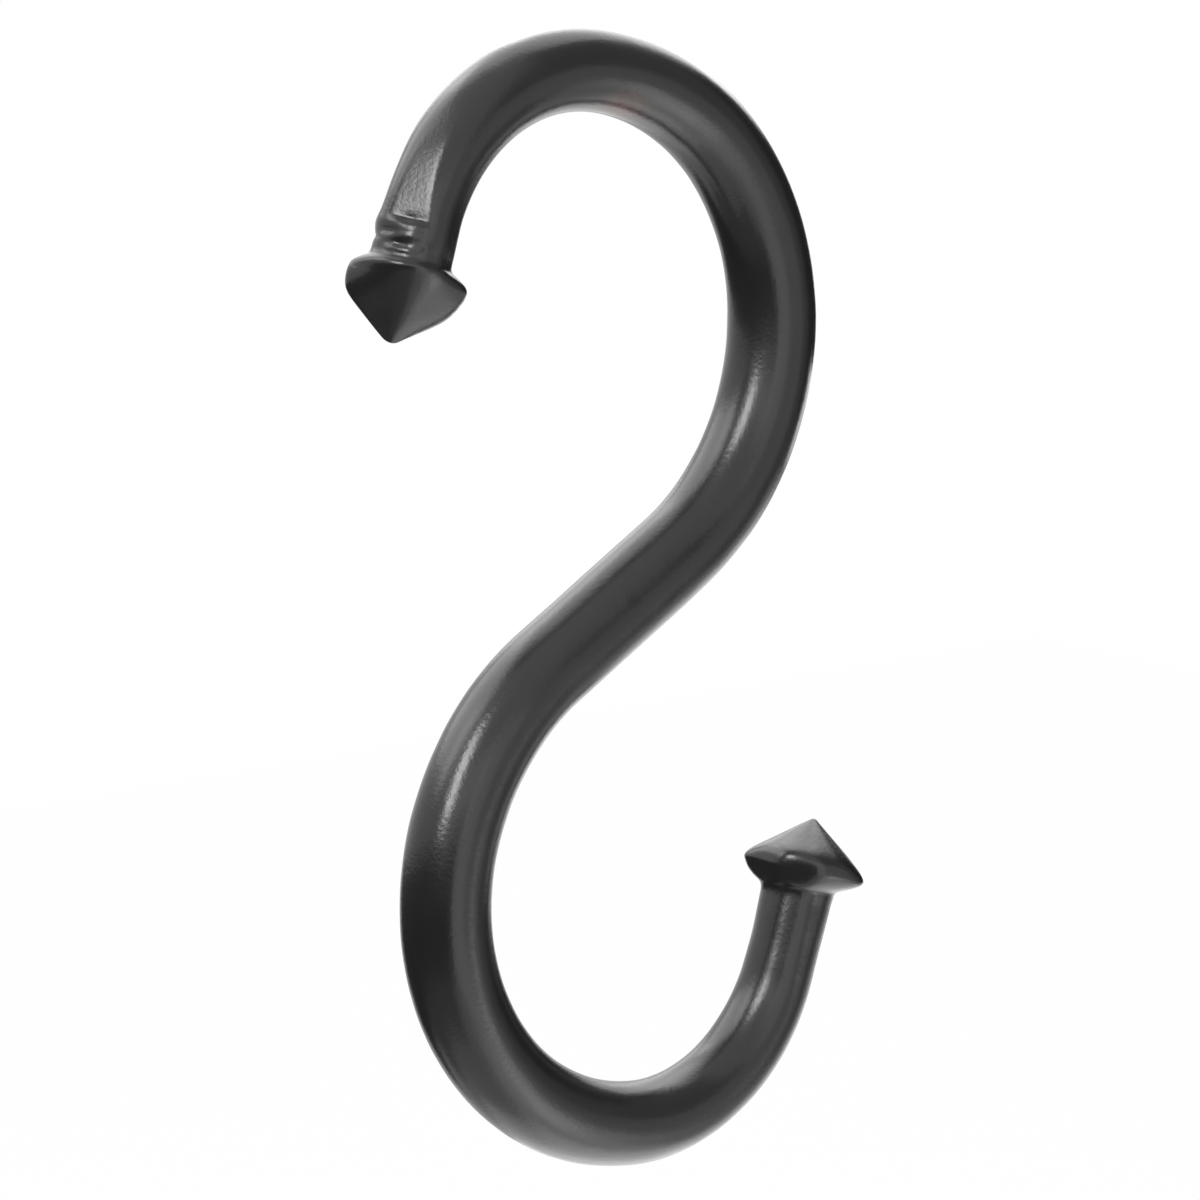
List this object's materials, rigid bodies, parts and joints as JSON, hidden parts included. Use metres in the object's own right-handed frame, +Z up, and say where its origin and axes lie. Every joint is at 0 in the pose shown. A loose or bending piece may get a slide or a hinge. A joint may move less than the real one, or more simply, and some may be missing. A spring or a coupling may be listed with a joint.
{
  "type": "s hook",
  "caption": "Cast S hook of round bar with squared arm ends and small pointed square heads, for hanging things from a rail.",
  "frame": {"origin": "the seat inside the upper hook, where the bar's inner side is level and bears on a rail", "axes": "+Z up as the hook hangs, the S lies in the XZ plane with its upper hook opening towards -X, Y across the bar's thickness"},
  "size_m": [0.0541, 0.0094, 0.1025],
  "materials": {
    "blackened_iron": "satin black wax over fine cast grain"
  },
  "bodies": {
    "root": {"s_hook": "blackened_iron"}
  },
  "joints": []
}
